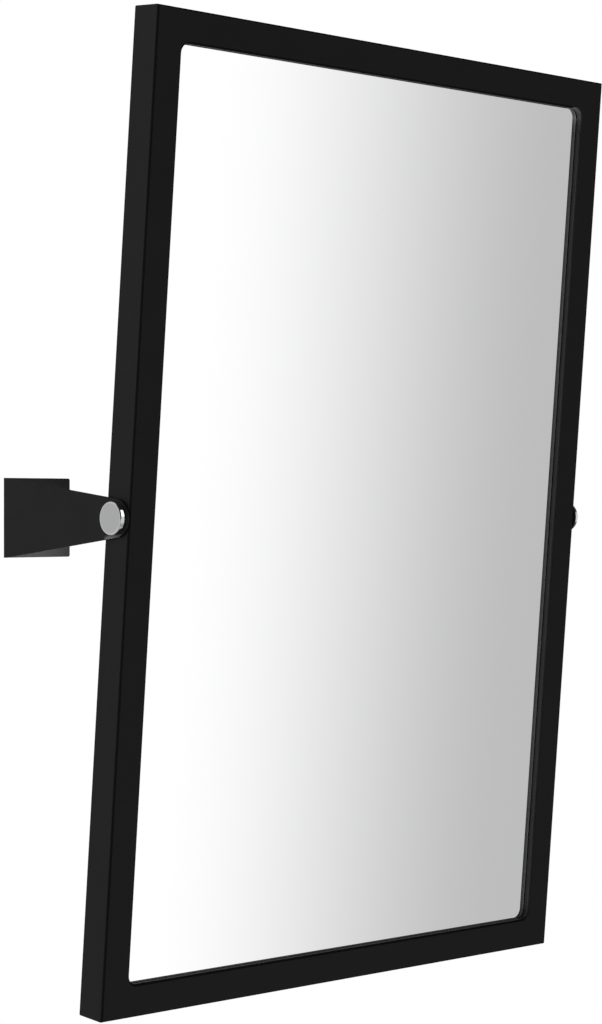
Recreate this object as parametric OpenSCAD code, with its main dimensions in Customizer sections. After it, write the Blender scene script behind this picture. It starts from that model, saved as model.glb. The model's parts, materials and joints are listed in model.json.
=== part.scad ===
// Pivot wall mirror: a framed mirror that tilts between two folded wall brackets.
// Origin: on the wall, midway between the two brackets, level with the pivots.
// +X is the viewer's right, +Y goes into the wall and +Z is up.

/* [Mirror frame] */
// Overall width of the mirror frame
mirror_w = 400; // [300:5:600]
// Overall height of the mirror frame
mirror_h = 600; // [450:5:800]
// Depth of the frame from its face to its back
frame_depth = 22; // [18:0.5:28]
// Width of the frame's face
face_w = 20; // [19:0.5:28]
// Thickness of the frame's sheet metal
sheet_t = 1.5; // [1:0.1:2]
// Rounding along the frame's long edges
edge_r = 1.5; // [0.6:0.1:1.8]
// Corner radius of the window in the frame's face
window_r = 6; // [4:0.5:10]
// Width of the flange folded in along the frame's back
flange_w = 12; // [11:0.5:12.5]

/* [Glass pack] */
// Thickness of the mirror glass
glass_t = 4; // [3:0.5:6]
// Depth of the glass behind the frame's face
glass_set = 4.4; // [3:0.1:5]
// How far the glass reaches behind the frame's face
glass_overlap = 6.5; // [6:0.1:7]
// Thickness of the board behind the glass
board_t = 3; // [2:0.5:4]
// Side of a square packing pad
pad_side = 26; // [16:1:40]
// Length of a setting block
block_len = 40; // [20:1:60]
// Thickness of a setting block, across the frame
block_depth = 6; // [4:0.5:7]

/* [Back] */
// Thickness of the back panel
panel_t = 2; // [1.5:0.1:3]
// Margin between the frame's outline and the back panel
panel_margin = 4; // [3:0.5:5]
// Corner radius of the back panel
panel_r = 6; // [3:0.5:10]
// Height of the field that is pressed out of the back panel
field_h = 1.2; // [0.6:0.1:1.6]
// Corner radius of the pressed field
field_r = 14; // [8:1:30]
// Distance of the panel screws from the frame's outline
screw_margin = 7; // [6.5:0.1:7.5]
// Radius of a panel screw's thread
panel_screw_r = 1.5; // [1.25:0.05:1.75]
// Radius of a panel screw's head
panel_head_r = 2.8; // [2.4:0.1:3]
// Height of a panel screw's head
panel_head_h = 1.8; // [1.4:0.1:2.2]
// Rounding of a panel screw's head
panel_head_edge = 0.9; // [0.4:0.1:1.2]
// Radius of a rear bumper
bumper_r = 6; // [4:0.5:8]
// Height of a rear bumper
bumper_h = 5.5; // [3:0.5:6]
// Distance of a rear bumper's centre from the frame's outline
bumper_margin = 18; // [14:1:40]

/* [Wall brackets] */
// Distance from the wall to the pivot axis
standoff = 110; // [100:1:140]
// Thickness of the bracket's plate
plate_t = 1.5; // [1.5:0.1:3]
// Width of the bracket's wall flange, fold included
plate_w = 52; // [44:1:70]
// Height of the bracket at the wall
plate_h = 49.5; // [44:0.5:60]
// Radius of the arm's rounded tip
tip_r = 11.5; // [11:0.5:14]
// Outer radius of the fold
fold_r = 2.5; // [2.2:0.1:4]
// Corner radius of the wall flange
flange_corner_r = 1.2; // [0.8:0.1:3]
// Radius of a wall screw hole
wall_hole_r = 2.75; // [2:0.05:3.5]
// Height between the two wall screws of a bracket
wall_hole_pitch = 28; // [20:1:32]

/* [Pivot] */
// Radius of the pivot screw's shoulder
shoulder_r = 4; // [3.5:0.1:4.5]
// Radius of the pivot screw's thread
thread_r = 3; // [2.5:0.1:3]
// Radius of the pivot screw's head
head_r = 7.5; // [6.5:0.1:8.5]
// Height of the pivot screw's head
head_h = 2; // [1.8:0.1:3]
// Width of the pivot screw's hexagon socket across its flats
socket_af = 4; // [3:0.5:4]
// Depth of the pivot screw's socket
socket_depth = 2.6; // [2.2:0.1:4]
// Outer radius of the bush's sleeve
bush_r = 6; // [5.5:0.1:6.5]
// Radius of the bush's flange
bush_flange_r = 8.8; // [7.5:0.1:8.8]
// Thickness of the bush's flange, between frame and arm
bush_flange_t = 0.45; // [0.4:0.05:1.5]
// Outer radius of the thrust washer and the spring washer
washer_r = 8.5; // [7.8:0.1:8.6]
// Thickness of the thrust washer
washer_t = 0.5; // [0.3:0.1:0.8]
// Sheet thickness of the spring washer
spring_t = 0.3; // [0.2:0.05:0.4]
// Height of the spring washer as it is squeezed
spring_h = 0.6; // [0.5:0.05:1]
// Height of the pivot block
pivot_block_h = 36; // [24:1:50]
// Outer radius of the chrome cap
cap_r = 10; // [9.8:0.1:11]
// Wall thickness of the chrome cap
cap_wall = 0.8; // [0.5:0.1:0.9]
// Rounding of the chrome cap's rim
cap_edge_r = 0.7; // [0.3:0.1:0.7]
// Length of the peg that holds the cap in the screw's socket
cap_peg_len = 1.6; // [1:0.1:2]

/* [Pose] */
// Tilt of the mirror, with its top leaning forward
tilt = 5; // [0:0.1:15]

/* [Clearances] */
// Running clearance in the pivot, on the radius and along the axis
run_gap = 0.05; // [0.02:0.01:0.1]
// Clearance of pieces that are fitted together by hand
fit_gap = 0.1; // [0.05:0.01:0.3]
// Gap between the chrome cap's rim and the arm
cap_gap = 0.2; // [0.1:0.05:0.4]

/* [Hidden] */

// Colours
black_paint = "#26272a";
dark_rubber = "#17181a";
board_grey = "#55524c";
nylon = "#d9d6cc";
zinc = "#a9adb0";
chrome = "#d4d7da";
mirror_silver = "#dfe5e8";

// Overshoot of a cut past the face that it leaves
over = 1;

// Depths in the mirror's own frame, measured from the pivot axis, -Y to the front
face_y = -frame_depth / 2;
back_y = frame_depth / 2;
glass_y = face_y + glass_set;
board_y = glass_y + glass_t;
pad_y = board_y + board_t;

// Outlines across the mirror
window_w = mirror_w - 2 * face_w;
window_h = mirror_h - 2 * face_w;
glass_w = window_w + 2 * glass_overlap;
glass_h = window_h + 2 * glass_overlap;
glass_corner_r = 2;
rear_w = mirror_w - 2 * flange_w;
rear_h = mirror_h - 2 * flange_w;
rear_corner_r = 3;
inner_w = mirror_w - 2 * sheet_t;
inner_h = mirror_h - 2 * sheet_t;
panel_w = mirror_w - 2 * panel_margin;
panel_h = mirror_h - 2 * panel_margin;
// The turned-in lip around the window stops just short of the glass
lip_gap = 0.2;
lip_len = glass_set - lip_gap;

// Places of the panel's screws, its packing pads and its bumpers
screw_x = mirror_w / 2 - screw_margin;
screw_z = mirror_h / 2 - screw_margin;
screw_places = concat(
    [for (sx = [-1, 1], k = [-0.9, -0.36, 0.36, 0.9]) [sx * screw_x, k * screw_z]],
    [for (sz = [-1, 1], k = [-0.5, 0.5]) [k * screw_x, sz * screw_z]]
);
pad_margin = flange_w + 3;
pad_x = mirror_w / 2 - pad_margin - pad_side / 2;
pad_z = mirror_h / 2 - pad_margin - pad_side / 2;
pad_places = concat(
    [for (sx = [-1, 1], k = [-1, -1 / 3, 1 / 3, 1]) [sx * pad_x, k * pad_z]],
    [for (sz = [-1, 1]) [0, sz * pad_z]]
);
// The pressed field stays clear of the pads, which need the panel flat
field_margin = pad_margin + pad_side + 5;
field_w = mirror_w - 2 * field_margin;
field_len = mirror_h - 2 * field_margin;
bumper_x = mirror_w / 2 - bumper_margin;
bumper_z = mirror_h / 2 - bumper_margin;

// Stations along the pivot axis, measured outwards from the side of the frame
arm_x = bush_flange_t + run_gap;
washer_x = arm_x + plate_t;
spring_x = washer_x + washer_t + run_gap;
head_x = spring_x + spring_h;
head_top_x = head_x + head_h;
cap_top_x = head_top_x + cap_wall;
// Width of the pivot block, which fills the channel up to the glass's edge
channel_w = face_w - glass_overlap - sheet_t;
pivot_block_w = channel_w - 2;
pivot_block_depth = frame_depth - 2 * sheet_t - 0.5;

// Bracket outline: the arm's edges are tangent to its tip
arm_len = standoff - fold_r;
arm_root = plate_h / 2;
taper = atan2(arm_root, arm_len) - asin(tip_r / norm([arm_root, arm_len]));

// --- Helpers ---

// A rectangle with true arcs at its corners
module rounded_rect(w, h, r) {
    square([w - 2 * r, h], center = true);
    square([w, h - 2 * r], center = true);
    for (sx = [-1, 1], sy = [-1, 1])
        translate([sx * (w / 2 - r), sy * (h / 2 - r)]) circle(r = r, $fn = 64);
}

// A plate across the mirror that starts at depth y
module plate(w, h, r, t, y) {
    translate([0, y + t, 0]) rotate([90, 0, 0]) linear_extrude(t) rounded_rect(w, h, r);
}

// The mirror's parts are drawn upright around the pivot axis and tilted into place
module on_mirror() {
    translate([0, -standoff, 0]) rotate([tilt, 0, 0]) children();
}

// Pivot parts are drawn outwards along +X from the side of the frame.
// side is 1 on the right and -1 on the left.
module at_side(side) {
    mirror([side < 0 ? 1 : 0, 0, 0]) translate([mirror_w / 2, 0, 0]) children();
}

// Turns a profile of [radius, station] points about the pivot axis
module turned() {
    rotate([0, 90, 0]) rotate_extrude($fn = 96) children();
}

// A bar along the pivot axis
module bar_x(r, from, to) {
    translate([from, 0, 0]) rotate([0, 90, 0]) cylinder(r = r, h = to - from, $fn = 96);
}

// --- Mirror frame ---

// The frame's outside: a box with rounded long edges and sharp corners
module frame_envelope() {
    intersection() {
        translate([0, 0, -mirror_h / 2]) linear_extrude(mirror_h)
            rounded_rect(mirror_w, frame_depth, edge_r);
        translate([-mirror_w / 2, 0, 0]) rotate([90, 0, 90]) linear_extrude(mirror_w)
            rounded_rect(frame_depth, mirror_h, edge_r);
    }
}

// What rounds the window's edge takes away, beside one straight side or corner:
// [distance out from the window's edge, depth from the face]
module edge_waste() {
    difference() {
        translate([-over, -over]) square(edge_r + over);
        translate([edge_r, edge_r]) circle(r = edge_r, $fn = 64);
    }
}

module window_edge_waste() {
    corner_x = window_w / 2 - window_r;
    corner_z = window_h / 2 - window_r;
    translate([0, face_y, 0]) rotate([-90, 0, 0]) for (a = [0, 180]) rotate([0, 0, a]) {
        translate([window_w / 2, corner_z, 0]) rotate([90, 0, 0])
            linear_extrude(2 * corner_z) edge_waste();
        translate([-corner_x, window_h / 2, 0]) rotate([90, 0, 90])
            linear_extrude(2 * corner_x) edge_waste();
        for (m = [0, 1]) mirror([m, 0, 0]) translate([corner_x, corner_z, 0])
            rotate_extrude(angle = 90, $fn = 96) translate([window_r, 0]) edge_waste();
    }
}

module front_frame() {
    color(black_paint) on_mirror() difference() {
        frame_envelope();
        difference() {
            translate([-inner_w / 2, face_y + sheet_t, -inner_h / 2])
                cube([inner_w, frame_depth - 2 * sheet_t, inner_h]);
            plate(window_w + 2 * sheet_t, window_h + 2 * sheet_t, window_r + sheet_t,
                  lip_len, face_y);
        }
        plate(window_w, window_h, window_r, frame_depth / 2, face_y - over);
        plate(rear_w, rear_h, rear_corner_r, sheet_t + 2 * over, back_y - sheet_t - over);
        window_edge_waste();
        for (side = [-1, 1]) at_side(side) bar_x(thread_r + fit_gap, -sheet_t - over, over);
        for (p = screw_places) translate([p[0], 0, p[1]]) rotate([-90, 0, 0])
            cylinder(r = panel_screw_r, h = back_y + over, $fn = 48);
    }
}

// --- Glass pack ---

module glazing_gasket() {
    color(dark_rubber) on_mirror() difference() {
        plate(glass_w, glass_h, glass_corner_r, glass_set - sheet_t, face_y + sheet_t);
        plate(window_w + 2 * (sheet_t + fit_gap), window_h + 2 * (sheet_t + fit_gap),
              window_r + sheet_t + fit_gap, glass_set, face_y + sheet_t - over / 2);
    }
}

module mirror_glass() {
    color(mirror_silver) on_mirror() plate(glass_w, glass_h, glass_corner_r, glass_t, glass_y);
}

module backing_board() {
    color(board_grey) on_mirror() plate(glass_w, glass_h, glass_corner_r, board_t, board_y);
}

// Rubber blocks between the glass's edges and the inside of the frame's walls
module setting_blocks() {
    color(dark_rubber) on_mirror() for (s = [-1, 1]) {
        for (k = [-1, 1]) {
            translate([k * mirror_w * 0.3 - block_len / 2,
                       glass_y, s > 0 ? glass_h / 2 : -glass_h / 2 - channel_w])
                cube([block_len, block_depth, channel_w]);
            translate([s > 0 ? glass_w / 2 : -glass_w / 2 - channel_w,
                       glass_y, k * mirror_h * 0.3 - block_len / 2])
                cube([channel_w, block_depth, block_len]);
        }
    }
}

// Foam pads that hold the glass pack forward
module packing_pads() {
    color(dark_rubber) on_mirror() for (p = pad_places)
        translate([p[0] - pad_side / 2, pad_y, p[1] - pad_side / 2])
            cube([pad_side, back_y - pad_y, pad_side]);
}

// --- Back ---

module back_panel() {
    color(black_paint) on_mirror() difference() {
        union() {
            plate(panel_w, panel_h, panel_r, panel_t, back_y);
            plate(field_w, field_len, field_r, panel_t, back_y + field_h);
        }
        plate(field_w - 2 * panel_t, field_len - 2 * panel_t, field_r - panel_t,
              field_h + over, back_y - over);
        for (p = screw_places) translate([p[0], back_y - over, p[1]]) rotate([-90, 0, 0])
            cylinder(r = panel_screw_r + fit_gap, h = panel_t + 2 * over, $fn = 48);
    }
}

module back_panel_screws() {
    bite = sheet_t + 2;
    slot_w = 0.7;
    slot_depth = 0.8;
    color(zinc) on_mirror() for (p = screw_places)
        translate([p[0], back_y + panel_t, p[1]]) rotate([-90, 0, 0]) difference() {
            union() {
                rotate_extrude($fn = 48) {
                    square([panel_head_r, panel_head_h - panel_head_edge]);
                    square([panel_head_r - panel_head_edge, panel_head_h]);
                    translate([panel_head_r - panel_head_edge, panel_head_h - panel_head_edge])
                        circle(r = panel_head_edge, $fn = 32);
                }
                translate([0, 0, -panel_t - bite])
                    cylinder(r = panel_screw_r, h = panel_t + bite, $fn = 48);
            }
            for (a = [0, 90]) rotate([0, 0, a])
                translate([-panel_head_r * 0.6, -slot_w / 2, panel_head_h - slot_depth])
                    cube([panel_head_r * 1.2, slot_w, slot_depth + over]);
        }
}

module rear_bumpers() {
    crown = 1;
    color(dark_rubber) on_mirror() for (sx = [-1, 1], sz = [-1, 1])
        translate([sx * bumper_x, back_y + panel_t, sz * bumper_z]) rotate([-90, 0, 0])
            rotate_extrude($fn = 64) polygon([
                [0, 0], [bumper_r, 0], [bumper_r, bumper_h - crown],
                [bumper_r - crown, bumper_h], [0, bumper_h]
            ]);
}

// --- Wall brackets ---

// The arm's side view: [distance from the wall, height], with its tip at the pivot
module arm_profile() {
    tangent = [-sin(taper), cos(taper)] * tip_r;
    circle(r = tip_r, $fn = 96);
    polygon([
        [tangent[0], tangent[1]], [arm_len, arm_root],
        [arm_len, -arm_root], [tangent[0], -tangent[1]]
    ]);
}

// One bracket, folded from one plate: the arm beside the frame, the fold, the wall flange
module wall_bracket(side) {
    flange_len = plate_w - fold_r;
    color(black_paint) translate([0, -standoff, 0]) at_side(side) {
        difference() {
            translate([arm_x, 0, 0]) rotate([90, 0, 90]) linear_extrude(plate_t) arm_profile();
            bar_x(bush_r + run_gap, arm_x - over, washer_x + over);
        }
        translate([washer_x - fold_r, arm_len, -arm_root]) rotate_extrude(angle = 90, $fn = 96)
            translate([fold_r - plate_t, 0]) square([plate_t, plate_h]);
        translate([washer_x - fold_r, standoff, 0]) rotate([90, 0, 0]) linear_extrude(plate_t)
            difference() {
                union() {
                    translate([-flange_len + flange_corner_r, -arm_root])
                        square([flange_len - flange_corner_r, plate_h]);
                    translate([-flange_len, -arm_root + flange_corner_r])
                        square([flange_len, plate_h - 2 * flange_corner_r]);
                    for (sz = [-1, 1])
                        translate([-flange_len + flange_corner_r,
                                   sz * (arm_root - flange_corner_r)])
                            circle(r = flange_corner_r, $fn = 48);
                }
                for (sz = [-1, 1])
                    translate([fold_r - plate_w / 2, sz * wall_hole_pitch / 2])
                        circle(r = wall_hole_r, $fn = 64);
            }
    }
}

module left_wall_bracket() wall_bracket(-1);
module right_wall_bracket() wall_bracket(1);

// --- Pivots ---

// The bush sits in the arm, which stays level, so it isn't tilted with the mirror
module arm_bush(side) {
    bore = shoulder_r + run_gap;
    sleeve_end = washer_x + washer_t / 2;
    color(nylon) translate([0, -standoff, 0]) at_side(side) turned() polygon([
        [bore, run_gap], [bush_flange_r, run_gap], [bush_flange_r, arm_x],
        [bush_r, arm_x], [bush_r, sleeve_end], [bore, sleeve_end]
    ]);
}

module thrust_washer(side) {
    color(nylon) translate([0, -standoff, 0]) at_side(side) turned()
        translate([bush_r + fit_gap, washer_x])
            square([washer_r - bush_r - fit_gap, washer_t]);
}

// A coned ring: its rim bears on the thrust washer and its bore on the screw's head
module spring_washer(side) {
    bore = shoulder_r + 3 * fit_gap;
    color(zinc) on_mirror() at_side(side) turned() polygon([
        [bore, head_x - spring_t], [washer_r, spring_x],
        [washer_r, spring_x + spring_t], [bore, head_x]
    ]);
}

module pivot_screw(side) {
    chamfer = 0.3;
    thread_end = -sheet_t - pivot_block_w + chamfer;
    color(zinc) on_mirror() at_side(side) difference() {
        turned() polygon([
            [0, thread_end], [thread_r - chamfer, thread_end],
            [thread_r, thread_end + chamfer], [thread_r, 0], [shoulder_r, 0],
            [shoulder_r, head_x], [head_r, head_x], [head_r, head_top_x - chamfer],
            [head_r - chamfer, head_top_x], [0, head_top_x]
        ]);
        translate([head_top_x - socket_depth, 0, 0]) rotate([0, 90, 0])
            cylinder(r = socket_af / 2 / cos(30), h = socket_depth + over, $fn = 6);
    }
}

// A cup over the screw's head, held by a peg in the screw's socket
module pivot_cap(side) {
    peg_r = socket_af / 2 - run_gap;
    rim_x = washer_x + cap_gap;
    color(chrome) on_mirror() at_side(side) turned() difference() {
        union() {
            translate([0, rim_x]) square([cap_r, cap_top_x - cap_edge_r - rim_x]);
            translate([0, rim_x]) square([cap_r - cap_edge_r, cap_top_x - rim_x]);
            translate([cap_r - cap_edge_r, cap_top_x - cap_edge_r])
                circle(r = cap_edge_r, $fn = 48);
        }
        difference() {
            translate([0, rim_x - over])
                square([cap_r - cap_wall, head_top_x - rim_x + over]);
            translate([0, head_top_x - cap_peg_len]) square([peg_r, cap_peg_len + over]);
        }
    }
}

// The threaded block inside the frame's side
module pivot_block(side) {
    color(zinc) on_mirror() at_side(side) difference() {
        translate([-sheet_t - pivot_block_w, face_y + sheet_t, -pivot_block_h / 2])
            cube([pivot_block_w, pivot_block_depth, pivot_block_h]);
        bar_x(thread_r + run_gap, -sheet_t - pivot_block_w - over, 0);
    }
}

module left_arm_bush() arm_bush(-1);
module right_arm_bush() arm_bush(1);
module left_thrust_washer() thrust_washer(-1);
module right_thrust_washer() thrust_washer(1);
module left_spring_washer() spring_washer(-1);
module right_spring_washer() spring_washer(1);
module left_pivot_screw() pivot_screw(-1);
module right_pivot_screw() pivot_screw(1);
module left_pivot_cap() pivot_cap(-1);
module right_pivot_cap() pivot_cap(1);
module left_pivot_block() pivot_block(-1);
module right_pivot_block() pivot_block(1);

front_frame();
glazing_gasket();
mirror_glass();
backing_board();
setting_blocks();
packing_pads();
back_panel();
back_panel_screws();
rear_bumpers();
left_wall_bracket();
left_arm_bush();
left_thrust_washer();
left_spring_washer();
left_pivot_screw();
left_pivot_cap();
left_pivot_block();
right_wall_bracket();
right_arm_bush();
right_thrust_washer();
right_spring_washer();
right_pivot_screw();
right_pivot_cap();
right_pivot_block();
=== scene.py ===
"""Looks of the pivot wall mirror: materials, fine edges, studio and camera around the CAD frame.

Lengths are in metres, powers in watts and angles in radians, unless a comment says degrees. X runs
along the pivot axis to the viewer's right, Y into the wall and Z up.
"""

import json
import math

import bpy
from mathutils import Matrix, Vector

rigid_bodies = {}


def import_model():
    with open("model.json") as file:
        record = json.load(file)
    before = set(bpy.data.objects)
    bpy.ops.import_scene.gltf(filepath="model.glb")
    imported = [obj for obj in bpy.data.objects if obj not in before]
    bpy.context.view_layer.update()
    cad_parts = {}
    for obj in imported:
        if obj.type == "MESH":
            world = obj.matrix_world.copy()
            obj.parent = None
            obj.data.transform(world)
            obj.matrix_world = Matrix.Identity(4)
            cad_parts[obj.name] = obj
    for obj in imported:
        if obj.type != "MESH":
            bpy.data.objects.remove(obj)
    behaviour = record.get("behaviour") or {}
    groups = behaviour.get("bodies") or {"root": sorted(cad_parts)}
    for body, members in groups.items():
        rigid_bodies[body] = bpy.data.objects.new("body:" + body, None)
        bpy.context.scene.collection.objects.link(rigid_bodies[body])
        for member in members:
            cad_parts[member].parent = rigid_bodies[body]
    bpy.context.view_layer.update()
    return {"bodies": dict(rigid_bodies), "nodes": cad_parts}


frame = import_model()
nodes = frame["nodes"]

# A point on the pivot axis, and how far the mirror leans forward at rest
PIVOT = Vector((0, -0.110, 0))
TILT = math.radians(5)
# Directions at rest: square to the mirror, from its face to its back; and along the pivot axis
MIRROR_NORMAL = (0, math.cos(TILT), math.sin(TILT))
PIVOT_AXIS = (1, 0, 0)

# The ends of a fade in and of a fade out
RISE, FALL = (0, 1), (1, 0)
# The range that holds nearly all values of a noise, and the narrower one that gives more contrast
NOISE_RANGE = (0.3, 0.7)
NOISE_CORE = (0.35, 0.65)


def kind_of(name):
    """A piece's name without its side."""
    return name.removeprefix("left_").removeprefix("right_")


# --- Node helpers ---


def new_material(name, **sockets):
    """A node material whose Principled sockets take the values given, keyed by socket name."""
    material = bpy.data.materials.new(name)
    material.use_nodes = True
    shader = material.node_tree.nodes["Principled BSDF"]
    for socket, value in sockets.items():
        shader.inputs[socket.replace("_", " ")].default_value = value
    return material, material.node_tree, shader


def add(tree, kind, inputs=None, **settings):
    """A shader node; an input's value is either a constant or another node's output."""
    node = tree.nodes.new("ShaderNode" + kind)
    for key, value in settings.items():
        setattr(node, key, value)
    for key, value in (inputs or {}).items():
        if isinstance(value, bpy.types.NodeSocket):
            tree.links.new(value, node.inputs[key])
        else:
            node.inputs[key].default_value = value
    return node


def plug(tree, shader, **sockets):
    """Links outputs to the shader's sockets, keyed by socket name."""
    for socket, output in sockets.items():
        tree.links.new(output, shader.inputs[socket.replace("_", " ")])


def math_node(tree, operation, a, b=0.0):
    return add(tree, "Math", {0: a, 1: b}, operation=operation).outputs[0]


def vector_math(tree, operation, a, b, output=0):
    return add(tree, "VectorMath", {0: a, 1: b}, operation=operation).outputs[output]


def object_place(tree):
    return add(tree, "TexCoord").outputs["Object"]


def remap(tree, value, source, target, kind="SMOOTHSTEP"):
    """Maps value from the source range onto the target range, held at both ends."""
    low, high = source
    start, end = target
    return add(
        tree,
        "MapRange",
        {"Value": value, "From Min": low, "From Max": high, "To Min": start, "To Max": end},
        interpolation_type=kind,
        clamp=True,
    ).outputs["Result"]


def window(tree, value, rise, fall):
    """1 between the two ranges over which value rises and falls, 0 outside."""
    risen = remap(tree, value, rise, RISE)
    return math_node(tree, "MULTIPLY", risen, remap(tree, value, fall, FALL))


def contrast(tree, value):
    """Stretches a noise's middle values to 0 to 1."""
    return remap(tree, value, NOISE_CORE, RISE, "LINEAR")


def varied(tree, value, middle, spread):
    """Spreads a noise's values evenly round the middle value."""
    return remap(tree, value, NOISE_RANGE, (middle - spread, middle + spread), "LINEAR")


def blend(tree, a, b, share_a=0.5):
    """The sum of both values by their shares."""
    part_a = math_node(tree, "MULTIPLY", a, share_a)
    return math_node(tree, "ADD", part_a, math_node(tree, "MULTIPLY", b, 1 - share_a))


def noise(tree, place, scale, detail=2.0, roughness=0.5):
    inputs = {"Vector": place, "Scale": scale, "Detail": detail, "Roughness": roughness}
    return add(tree, "TexNoise", inputs).outputs["Fac"]


def mix_colors(tree, share, a, b):
    """Colour a where share is 0, b where it is 1; 6, 7 and 2 are the node's colour sockets."""
    return add(tree, "Mix", {"Factor": share, 6: a, 7: b}, data_type="RGBA").outputs[2]


def mix_values(tree, share, a, b):
    """Value a where share is 0, b where it is 1; 2, 3 and 0 are the node's value sockets."""
    return add(tree, "Mix", {"Factor": share, 2: a, 3: b}, data_type="FLOAT").outputs[0]


def bump(tree, height, distance, below=None):
    """A bumped normal, on top of the one below if there is one."""
    inputs = {"Height": height, "Distance": distance, "Strength": 1.0}
    if below is not None:
        inputs["Normal"] = below
    return add(tree, "Bump", inputs).outputs["Normal"]


def grey(value):
    return (value, value, value, 1.0)


# --- Materials ---


def edge_share(tree, normal, axis):
    """1 on the roundings round the faces square to axis, 0 on those faces and their neighbours."""
    along = vector_math(tree, "DOT_PRODUCT", normal, axis, "Value")
    return window(tree, math_node(tree, "ABSOLUTE", along), rise=(0.06, 0.3), fall=(0.95, 0.993))


def powder_coat(name, dark, light, roughness, seed, axis):
    """Matt black powder coat: orange peel and faint mottling, duller along the edges, where painted
    shade also darkens the colour.
    """
    painted_edge_shade, edge_roughness = 0.4, 0.9
    peel_depth, grain_depth = 0.00003, 0.000008
    material, tree, shader = new_material(name, Specular_IOR_Level=0.12)
    coords = add(tree, "TexCoord")
    shift = {"Vector": coords.outputs["Object"], "Location": (seed, 0, 0)}
    place = add(tree, "Mapping", shift).outputs[0]
    mottle = noise(tree, place, scale=45, detail=3)
    grain = noise(tree, place, scale=1500)
    peel = noise(tree, place, scale=420, detail=1)
    share = contrast(tree, blend(tree, mottle, grain, share_a=0.6))
    color = mix_colors(tree, share, grey(dark), grey(light))
    edge = edge_share(tree, coords.outputs["Normal"], axis)
    # Painted shade: the coat's colour is darkened on the edge roundings
    color = mix_colors(tree, edge, color, grey(dark * painted_edge_shade))
    rough = mix_values(tree, edge, varied(tree, grain, roughness, 0.05), edge_roughness)
    normal = bump(tree, grain, grain_depth, below=bump(tree, peel, peel_depth))
    plug(tree, shader, Base_Color=color, Roughness=rough, Normal=normal)
    return material


def silvered_glass():
    """Front: clear silver. Edges: ground glass. Back: grey backing paint."""
    facing = 0.5  # a normal at least this much along the mirror's own is on its front or back
    unsilvered_roughness = 0.45
    material, tree, shader = new_material("mirror_glass_look", Specular_IOR_Level=0.5)
    coords = add(tree, "TexCoord")
    place = coords.outputs["Object"]
    rearward = vector_math(tree, "DOT_PRODUCT", coords.outputs["Normal"], MIRROR_NORMAL, "Value")
    silver = math_node(tree, "LESS_THAN", rearward, -facing)
    back = math_node(tree, "GREATER_THAN", rearward, facing)
    film = noise(tree, place, scale=6, detail=3)
    silver_color = mix_colors(tree, film, (0.965, 0.972, 0.968, 1), (0.978, 0.98, 0.979, 1))
    paint = mix_colors(tree, noise(tree, place, scale=300, detail=3), grey(0.10), grey(0.14))
    ground = noise(tree, place, scale=900)
    edge_glass = mix_colors(tree, ground, (0.10, 0.22, 0.17, 1), (0.16, 0.3, 0.24, 1))
    color = mix_colors(tree, back, edge_glass, paint)
    color = mix_colors(tree, silver, color, silver_color)
    rough = mix_values(tree, silver, unsilvered_roughness, varied(tree, film, 0.006, 0.002))
    plug(tree, shader, Base_Color=color, Metallic=silver, Roughness=rough)
    return material


def pivot_radius(tree, place):
    """Distance from the pivot axis."""
    from_pivot = vector_math(tree, "SUBTRACT", place, PIVOT)
    flat = vector_math(tree, "MULTIPLY", from_pivot, (0, 1, 1))
    return add(tree, "VectorMath", {0: flat}, operation="LENGTH").outputs["Value"]


def turning_rings(tree, radius, scale):
    """Fine rings round the pivot axis, as a lathe leaves them."""
    return noise(tree, add(tree, "CombineXYZ", {0: radius}).outputs[0], scale)


def polished_chrome():
    """Plated cap: a faint turned finish and haze, and a painted highlight: a brighter band round
    the face's edge.
    """
    highlight_band_rise, highlight_band_fall = (0.0086, 0.0090), (0.0096, 0.0099)  # radii
    ring_depth = 0.0000012
    material, tree, shader = new_material("chrome_look", Metallic=1.0)
    place = object_place(tree)
    radius = pivot_radius(tree, place)
    rings = turning_rings(tree, radius, scale=9000)
    haze = noise(tree, place, scale=260, detail=3)
    color = mix_colors(tree, haze, (0.50, 0.504, 0.508, 1), (0.545, 0.547, 0.55, 1))
    # Painted highlight: a brighter ring of colour round the face's edge
    highlight_band = window(tree, radius, highlight_band_rise, highlight_band_fall)
    color = mix_colors(tree, highlight_band, color, (0.64, 0.643, 0.646, 1))
    rough = varied(tree, blend(tree, rings, haze), 0.095, 0.035)
    plug(tree, shader, Base_Color=color, Roughness=rough, Normal=bump(tree, rings, ring_depth))
    return material


def turned_metal(name, dark, light, roughness):
    """Zinc-plated or spring steel: fine turning marks round the pivot axis and cloudy plating."""
    mark_depth = 0.00001
    material, tree, shader = new_material(name, Metallic=1.0)
    place = object_place(tree)
    rings = turning_rings(tree, pivot_radius(tree, place), scale=2500)
    cloud = noise(tree, place, scale=500, detail=4)
    finish = blend(tree, rings, cloud)
    plug(
        tree,
        shader,
        Base_Color=mix_colors(tree, cloud, dark, light),
        Roughness=varied(tree, finish, roughness, 0.08),
        Normal=bump(tree, finish, mark_depth),
    )
    return material


def grained(name, dark, light, roughness, grain_scale, grain_depth, **sockets):
    """Moulded plastic, rubber or foam: a cell-like grain with fine noise between."""
    material, tree, shader = new_material(name, **sockets)
    place = object_place(tree)
    grain = {"Vector": place, "Scale": grain_scale, "Randomness": 1.0}
    cells = add(tree, "TexVoronoi", grain, feature="SMOOTH_F1").outputs["Distance"]
    fine = noise(tree, place, grain_scale * 3, detail=3)
    broad = noise(tree, place, scale=30)
    share = contrast(tree, blend(tree, fine, broad))
    plug(
        tree,
        shader,
        Base_Color=mix_colors(tree, share, dark, light),
        Roughness=varied(tree, fine, roughness, 0.06),
        Normal=bump(tree, cells, grain_depth, below=bump(tree, fine, grain_depth * 0.3)),
    )
    return material


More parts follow.
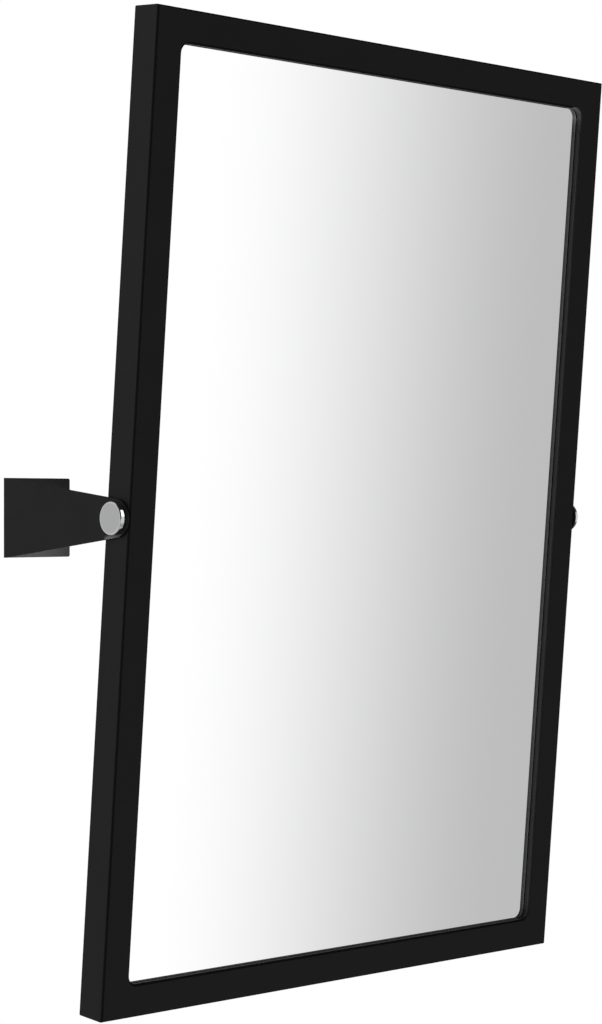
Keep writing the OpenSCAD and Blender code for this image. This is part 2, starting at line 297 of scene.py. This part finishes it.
def hardboard():
    """Pressed fibreboard behind the glass, its fibres drawn out along Z."""
    fibre_depth, fibre_stretch = 0.00006, 0.25
    material, tree, shader = new_material("board_look", Specular_IOR_Level=0.3)
    place = object_place(tree)
    drawn = {"Vector": place, "Scale": (1, 1, fibre_stretch)}
    stretched = add(tree, "Mapping", drawn).outputs[0]
    fibres = noise(tree, stretched, scale=1400, detail=4, roughness=0.65)
    patches = noise(tree, place, scale=25, detail=3)
    share = contrast(tree, blend(tree, fibres, patches, share_a=0.65))
    plug(
        tree,
        shader,
        Base_Color=mix_colors(tree, share, (0.105, 0.058, 0.030, 1), (0.20, 0.118, 0.064, 1)),
        Roughness=varied(tree, fibres, 0.80, 0.08),
        Normal=bump(tree, fibres, fibre_depth),
    )
    return material


frame_paint = powder_coat(
    "frame_paint_look", dark=0.0026, light=0.0036, roughness=0.52, seed=0.0, axis=MIRROR_NORMAL
)
bracket_paint = powder_coat(
    "bracket_paint_look", dark=0.0030, light=0.0042, roughness=0.50, seed=3.7, axis=PIVOT_AXIS
)
zinc = turned_metal(
    "zinc_look", dark=(0.50, 0.52, 0.54, 1), light=(0.64, 0.66, 0.67, 1), roughness=0.36
)
spring = turned_metal(
    "spring_steel_look", dark=(0.30, 0.30, 0.30, 1), light=(0.42, 0.42, 0.41, 1), roughness=0.30
)
nylon = grained(
    "nylon_look",
    dark=(0.70, 0.68, 0.62, 1),
    light=(0.78, 0.76, 0.70, 1),
    roughness=0.42,
    grain_scale=900,
    grain_depth=0.00001,
    Subsurface_Weight=0.1,
)
panel = grained(
    "panel_plastic_look",
    dark=grey(0.012),
    light=grey(0.017),
    roughness=0.55,
    grain_scale=1100,
    grain_depth=0.00006,
    Specular_IOR_Level=0.3,
)
rubber = grained(
    "rubber_look",
    dark=grey(0.010),
    light=grey(0.016),
    roughness=0.78,
    grain_scale=1600,
    grain_depth=0.00003,
    Specular_IOR_Level=0.25,
)
foam = grained(
    "foam_look",
    dark=grey(0.030),
    light=grey(0.055),
    roughness=0.92,
    grain_scale=1300,
    grain_depth=0.0003,
    Specular_IOR_Level=0.1,
)

LOOKS = {
    "front_frame": frame_paint,
    "wall_bracket": bracket_paint,
    "mirror_glass": silvered_glass(),
    "pivot_cap": polished_chrome(),
    "pivot_screw": zinc,
    "pivot_block": zinc,
    "back_panel_screws": zinc,
    "spring_washer": spring,
    "arm_bush": nylon,
    "thrust_washer": nylon,
    "back_panel": panel,
    "glazing_gasket": rubber,
    "setting_blocks": rubber,
    "rear_bumpers": rubber,
    "packing_pads": foam,
    "backing_board": hardboard(),
}

for name, part in nodes.items():
    for slot in part.material_slots:
        slot.material = LOOKS[kind_of(name)]


# --- Fine edges: a small bevel breaks the CAD's sharp edges, as deburring and paint do ---

BEVEL_WIDTHS = {
    "wall_bracket": 0.0006,
    "back_panel": 0.0004,
    "back_panel_screws": 0.0002,
    "rear_bumpers": 0.0003,
    "front_frame": 0.0003,
}
WELD_DISTANCE = 1e-6
SHARP_ANGLE = math.radians(40)
BEVEL_SEGMENTS = 3

for name, part in nodes.items():
    if kind_of(name) not in BEVEL_WIDTHS:
        continue
    weld = part.modifiers.new("join_faces", "WELD")
    weld.merge_threshold = WELD_DISTANCE
    bevel = part.modifiers.new("broken_edges", "BEVEL")
    bevel.width = BEVEL_WIDTHS[kind_of(name)]
    bevel.segments = BEVEL_SEGMENTS
    bevel.limit_method = "ANGLE"
    bevel.angle_limit = SHARP_ANGLE
    bevel.harden_normals = True
    bevel.miter_outer = "MITER_ARC"


# --- Lamps ---

SIDE_SOFTBOX = {"place": (-2.2, -0.1, 0.5), "target": (0, -0.1, 0), "size": (1.6, 1.6), "power": 36}
TOP_SOFTBOX = {"place": (0.2, -0.6, 2.4), "target": (0, -0.1, 0), "size": (1.8, 1.8), "power": 25}
# Windows that show as the highlights on the caps' rims
LEFT_CAP_WINDOW = {
    "place": (1.25, -1.33, 0.93),
    "target": (-0.21, -0.11, 0),
    "size": (0.95, 1.15),
    "power": 7.2,
}
RIGHT_CAP_WINDOW = {
    "place": (1.38, -1.03, 0),
    "target": (0.204, -0.11, 0),
    "size": (0.6, 1.4),
    "power": 1.8,
}
# Slim lamps in the window's recess, placed from the pivot with the mirror upright: one lights the
# window's right wall, the other its top right corner
RECESS_WALL = {
    "place": (0.174, -0.0103, 0),
    "target": (0.180, -0.0088, 0),
    "size": (0.001, 0.55),
    "power": 0.065,
}
RECESS_CORNER = {
    "place": (0.1725, -0.0103, 0.2762),
    "target": (0.1782, -0.0088, 0.2788),
    "size": (0.001, 0.003),
    "power": 0.004,
}
# Light that the pale wall below throws up onto a flange, and that a cap throws down onto its
# arm's tip: both are given for the right side and mirrored for the left
WALL_BOUNCE = {
    "place": (0.146, -0.06, -0.018),
    "target": (0.16, 0, -0.018),
    "size": (0.04, 0.03),
    "power": 0.115,
}
CAP_GLOW = {
    "place": (0.2096, -0.0982, -0.0120),
    "target": (0.202, -0.1075, -0.0120),
    "size": (0.008, 0.0012),
    "power": 0.0001,
}
CAP_GLOW_SPREAD = math.radians(35)


def area_lamp(name, place, target, size, power):
    """A rectangular lamp at a place, turned to its target and hidden from the camera."""
    lamp = bpy.data.lights.new(name, "AREA")
    lamp.shape = "RECTANGLE"
    lamp.size, lamp.size_y = size
    lamp.energy = power
    holder = bpy.data.objects.new(name, lamp)
    holder.location = place
    aim = Vector(target) - Vector(place)
    holder.rotation_mode = "QUATERNION"
    holder.rotation_quaternion = aim.to_track_quat("-Z", "Y")
    holder.visible_camera = False
    bpy.context.scene.collection.objects.link(holder)
    return holder


def light_only(lamp, *names):
    """Makes the lamp light only these pieces or kinds of piece, as a flag beside it would."""
    receivers = bpy.data.collections.new(lamp.name + "_receivers")
    for name, part in nodes.items():
        if name in names or kind_of(name) in names:
            receivers.objects.link(part)
    lamp.light_linking.receiver_collection = receivers


def recess_lamp(settings):
    """A lamp in the window's recess, which tilts with the mirror."""
    lamp = area_lamp("recess_lamp", **settings)
    upright_to_rest = Matrix.Rotation(TILT, 4, "X")
    lamp.location = PIVOT + upright_to_rest @ lamp.location
    lamp.rotation_quaternion = upright_to_rest.to_quaternion() @ lamp.rotation_quaternion
    lamp.parent = frame["bodies"]["mirror"]
    light_only(lamp, "front_frame")


def on_side(side, settings):
    """The settings of a lamp for the right side, mirrored if side is -1."""
    x, y, z = settings["place"]
    aim_x, aim_y, aim_z = settings["target"]
    return {**settings, "place": (side * x, y, z), "target": (side * aim_x, aim_y, aim_z)}


# The polished pieces don't see the side softbox, which would show there as a hard white square
side_box = area_lamp("side_softbox", **SIDE_SOFTBOX)
light_only(side_box, *(kind for kind in LOOKS if kind not in ("pivot_cap", "mirror_glass")))
top_box = area_lamp("top_softbox", **TOP_SOFTBOX)
top_box.visible_glossy = False
recess_lamp(RECESS_WALL)
recess_lamp(RECESS_CORNER)
light_only(area_lamp("cap_window", **LEFT_CAP_WINDOW), "left_pivot_cap")
light_only(area_lamp("cap_window", **RIGHT_CAP_WINDOW), "right_pivot_cap")
for side, bracket in ((-1, "left_wall_bracket"), (1, "right_wall_bracket")):
    light_only(area_lamp("wall_bounce", **on_side(side, WALL_BOUNCE)), bracket)
    glow = area_lamp("cap_glow", **on_side(side, CAP_GLOW))
    glow.data.spread = CAP_GLOW_SPREAD
    light_only(glow, bracket)


# --- Surroundings ---


def studio_world():
    """White to the camera, an even grey to matt surfaces, and a studio to polished ones.

    The studio is drawn by azimuth and elevation in degrees: azimuth 0 is in front of the mirror
    and grows towards the viewer's right. Each level below is a brightness, and each pair of angles
    holds the ends of a fade.
    """
    camera_level, matt_level = 1.0, 0.75
    floor_elevations, floor_levels = (-60, -6), (0.42, 0.66)
    right_floor_azimuths, right_floor_level = (46, 70), 0.15
    horizon = (-8, -1)
    shade_azimuths, shade_levels = (75, 105), (0.05, 0.13)
    wall_azimuth, wall_half_width, wall_level = -142, (20, 34), 0.72
    card_azimuths, card_elevations = ((6, 18), (51, 57)), ((-34, -22), (10, 36))
    card_fade, card_levels, card_slant = (40.7, 49.3), (1.03, 0.52), 0.04
    card_glow_fade, card_glow_levels = (29, 38), (0.7, 0)

    world = bpy.data.worlds.new("studio")
    world.use_nodes = True
    tree = world.node_tree
    tree.nodes.clear()
    direction = add(tree, "TexCoord").outputs["Generated"]
    x, y, z = add(tree, "SeparateXYZ", {0: direction}).outputs
    front = math_node(tree, "MULTIPLY", y, -1.0)
    to_degrees = 180 / math.pi
    azimuth = math_node(tree, "MULTIPLY", math_node(tree, "ARCTAN2", x, front), to_degrees)
    elevation = math_node(tree, "MULTIPLY", math_node(tree, "ARCSINE", z), to_degrees)

    # A grey floor, darker on the right, below a dark room
    floor = remap(tree, elevation, floor_elevations, floor_levels)
    shade = remap(tree, azimuth, shade_azimuths, shade_levels)
    on_the_right = remap(tree, azimuth, right_floor_azimuths, RISE)
    floor = mix_values(tree, on_the_right, floor, right_floor_level)
    level = mix_values(tree, remap(tree, elevation, horizon, RISE), floor, shade)

    # A pale wall behind on the left, from floor to ceiling
    from_wall = math_node(tree, "ABSOLUTE", math_node(tree, "ADD", azimuth, -wall_azimuth))
    pale_wall = remap(tree, from_wall, wall_half_width, FALL)
    level = mix_values(tree, pale_wall, level, wall_level)

    # A white card in front, brightest on its left, that fades to grey along a slightly slanted line
    slant = math_node(tree, "MULTIPLY", elevation, card_slant)
    along = math_node(tree, "ADD", azimuth, slant)
    card = remap(tree, along, card_fade, card_levels)
    card = math_node(tree, "ADD", card, remap(tree, azimuth, card_glow_fade, card_glow_levels))
    card_width = window(tree, azimuth, *card_azimuths)
    card_height = window(tree, elevation, *card_elevations)
    level = mix_values(tree, math_node(tree, "MULTIPLY", card_width, card_height), level, card)

    paths = add(tree, "LightPath").outputs
    is_glossy, is_transmitted = paths["Is Glossy Ray"], paths["Is Transmission Ray"]
    seen = math_node(tree, "MAXIMUM", is_glossy, is_transmitted)
    level = mix_values(tree, seen, matt_level, level)
    level = mix_values(tree, paths["Is Camera Ray"], level, camera_level)
    background = add(tree, "Background", {"Strength": level, "Color": (1, 1, 1, 1)})
    add(tree, "OutputWorld", {"Surface": background.outputs[0]})
    bpy.context.scene.world = world


def disc_mesh(name, height, radius, rings=12, spokes=64):
    """A level disc at a height: triangles round its middle, then rings of quads."""
    points = [(0, 0, height)]
    for ring in range(1, rings + 1):
        for spoke in range(spokes):
            angle = 2 * math.pi * spoke / spokes
            reach = radius * ring / rings
            points.append((reach * math.cos(angle), reach * math.sin(angle), height))
    faces = []
    for spoke in range(spokes):
        after = (spoke + 1) % spokes
        faces.append((0, 1 + spoke, 1 + after))
        for ring in range(rings - 1):
            inner, outer = 1 + ring * spokes, 1 + (ring + 1) * spokes
            faces.append((inner + spoke, outer + spoke, outer + after, inner + after))
    mesh = bpy.data.meshes.new(name)
    mesh.from_pydata(points, [], faces)
    return mesh


def studio_floor(height=-0.9, radius=1.2, solid_radius=0.65):
    """A pale floor disc that fades out, so it keeps the object's soft shadow and shows no edge."""
    mesh = disc_mesh("studio_floor", height, radius)
    floor = bpy.data.objects.new("studio_floor", mesh)
    bpy.context.scene.collection.objects.link(floor)
    material, tree, shader = new_material("floor_look", Specular_IOR_Level=0.2, Roughness=0.8)
    place = object_place(tree)
    flat = vector_math(tree, "MULTIPLY", place, (1, 1, 0))
    distance = add(tree, "VectorMath", {0: flat}, operation="LENGTH").outputs["Value"]
    tone = mix_colors(tree, noise(tree, place, scale=40, detail=3), grey(0.86), grey(0.88))
    opacity = remap(tree, distance, (solid_radius, radius), FALL)
    plug(tree, shader, Base_Color=tone, Alpha=opacity)
    mesh.materials.append(material)


studio_world()
studio_floor()


# --- Camera: the pose that a fit to the photograph's frame edges gives ---

CAMERA_PLACE = (-1.15174, -1.26605, 0.00569)
CAMERA_PITCH, CAMERA_YAW = -0.00133, -0.76091  # from level, and from straight at the wall
LENS_MM, SENSOR_MM = 89.14, 36
NEAREST_SEEN = 0.05

camera_data = bpy.data.cameras.new("camera")
camera_data.sensor_width = SENSOR_MM
camera_data.lens = LENS_MM
camera_data.clip_start = NEAREST_SEEN
camera = bpy.data.objects.new("camera", camera_data)
camera.location = CAMERA_PLACE
camera.rotation_euler = (math.pi / 2 + CAMERA_PITCH, 0, CAMERA_YAW)
bpy.context.scene.collection.objects.link(camera)
bpy.context.scene.camera = camera
bpy.context.scene.view_settings.view_transform = "Standard"
